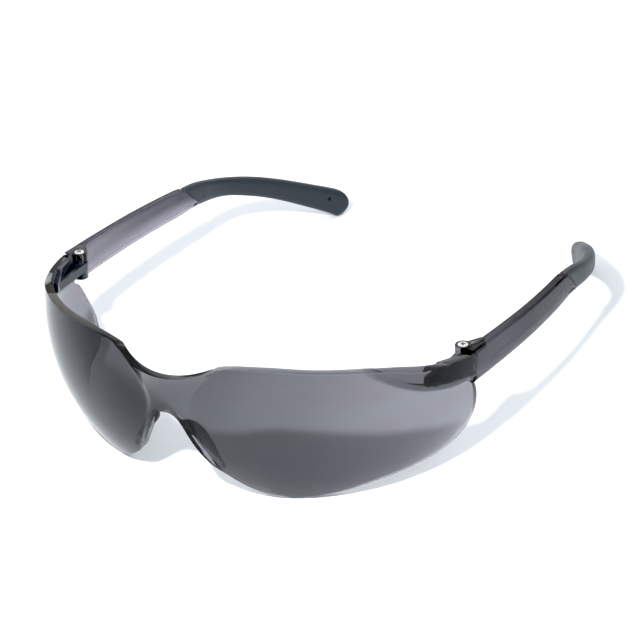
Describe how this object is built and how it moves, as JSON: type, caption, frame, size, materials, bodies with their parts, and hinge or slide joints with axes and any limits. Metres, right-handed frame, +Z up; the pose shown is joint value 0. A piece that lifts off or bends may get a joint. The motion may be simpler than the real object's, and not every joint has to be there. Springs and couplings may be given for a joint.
{
  "type": "safety glasses",
  "caption": "Wraparound safety glasses with a one-piece smoke lens, hinged translucent temples, soft drooping tips and soft nose pads.",
  "frame": {"origin": "middle of the glasses' footprint, on the surface they stand on", "axes": "+X to the wearer's left, +Y from the lens back along the temples, +Z up"},
  "size_m": [0.1368, 0.1784, 0.0451],
  "materials": {
    "lens": "polished smoke-tinted clear plastic",
    "nose_pad": "matte soft",
    "hinge_block": "glossy moulded",
    "screw": "bright plated",
    "temple": "translucent smoke moulded",
    "tip": "matte soft"
  },
  "bodies": {
    "front": {"lens": "lens", "nose_pad_left": "nose_pad", "nose_pad_right": "nose_pad", "hinge_block_left": "hinge_block", "hinge_block_right": "hinge_block", "hinge_screw_left": "screw", "hinge_screw_right": "screw"},
    "left_arm": {"temple_left": "temple", "temple_tip_left": "tip"},
    "right_arm": {"temple_right": "temple", "temple_tip_right": "tip"}
  },
  "joints": [
    {"name": "left_fold", "type": "hinge", "parent": "front", "child": "left_arm", "pos_m": [0.063, -0.0342, 0.0365], "axis": [0, 0, 1], "range_deg": [0, 78]},
    {"name": "right_fold", "type": "hinge", "parent": "front", "child": "right_arm", "pos_m": [-0.063, -0.0342, 0.0365], "axis": [0, 0, -1], "range_deg": [0, 68]}
  ]
}
